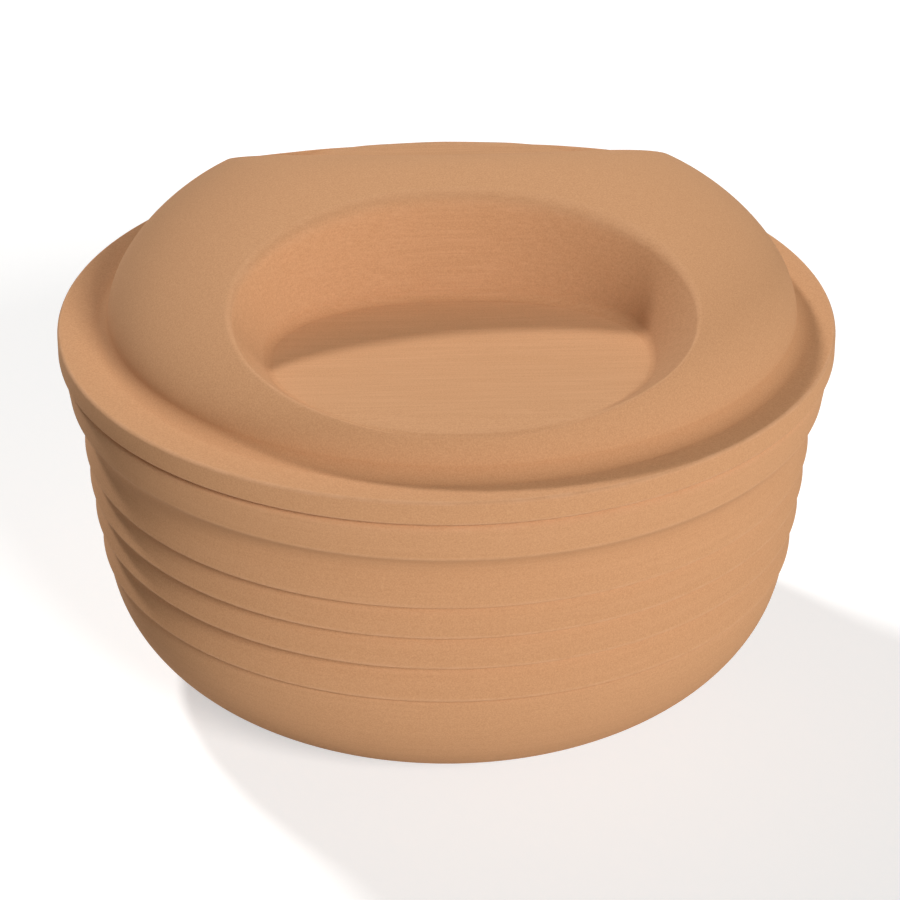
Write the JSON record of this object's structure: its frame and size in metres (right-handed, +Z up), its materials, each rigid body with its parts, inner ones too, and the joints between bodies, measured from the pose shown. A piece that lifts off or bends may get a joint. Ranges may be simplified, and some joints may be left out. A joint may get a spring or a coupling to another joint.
{
  "type": "clay roaster",
  "caption": "Round unglazed clay roasting pot: a bowl with stepped bands and a domed lid with a grip bar left between two oval finger hollows.",
  "frame": {"origin": "centre of the flat base that the bowl stands on", "axes": "+Z up along the pot's axis, +X along the lid's grip bar, -Y towards the hollow that faces the user"},
  "size_m": [0.26, 0.26, 0.1822],
  "materials": {
    "bowl_clay": "unglazed fired clay, matt",
    "lid_clay": "unglazed fired clay, matt"
  },
  "bodies": {
    "bowl": {"bowl": "bowl_clay"},
    "lid": {"lid": "lid_clay"}
  },
  "joints": [
    {"name": "lid_lift", "type": "slide", "parent": "bowl", "child": "lid", "axis": [0, 0, 1], "range_m": [0, 0.2]}
  ]
}
